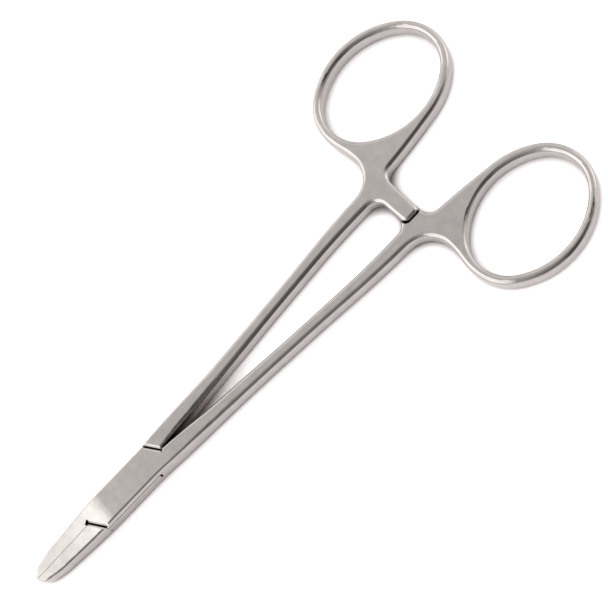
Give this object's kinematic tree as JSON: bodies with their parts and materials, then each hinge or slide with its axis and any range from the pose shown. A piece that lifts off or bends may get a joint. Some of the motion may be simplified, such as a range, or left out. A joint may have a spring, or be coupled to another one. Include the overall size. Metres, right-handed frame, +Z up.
{
  "type": "needle holder",
  "caption": "Short surgical needle holder with a box lock hinge, cross cut jaws, a toothed ratchet between the shanks and oval finger rings.",
  "frame": {"origin": "on the pivot axis, on the underside of the box, which is the face the tool lies on", "axes": "+X from the pivot to the finger rings, +Y to the ring of the tenon half, +Z up through the thickness, jaws closed"},
  "size_m": [0.1299, 0.0652, 0.0046],
  "materials": {
    "satin_steel": "satin, fine bead blasted flats with polished rounded sides",
    "pin_steel": "rivet ground flush with the box and finished with it"
  },
  "bodies": {
    "box_side": {"box_half": "satin_steel", "pivot_pin": "pin_steel"},
    "tenon_side": {"tenon_half": "satin_steel"}
  },
  "joints": [
    {"name": "box_lock", "type": "hinge", "parent": "box_side", "child": "tenon_side", "pos_m": [0, 0, 0.0023], "axis": [0, 0, 1], "range_deg": [0, 60]}
  ]
}
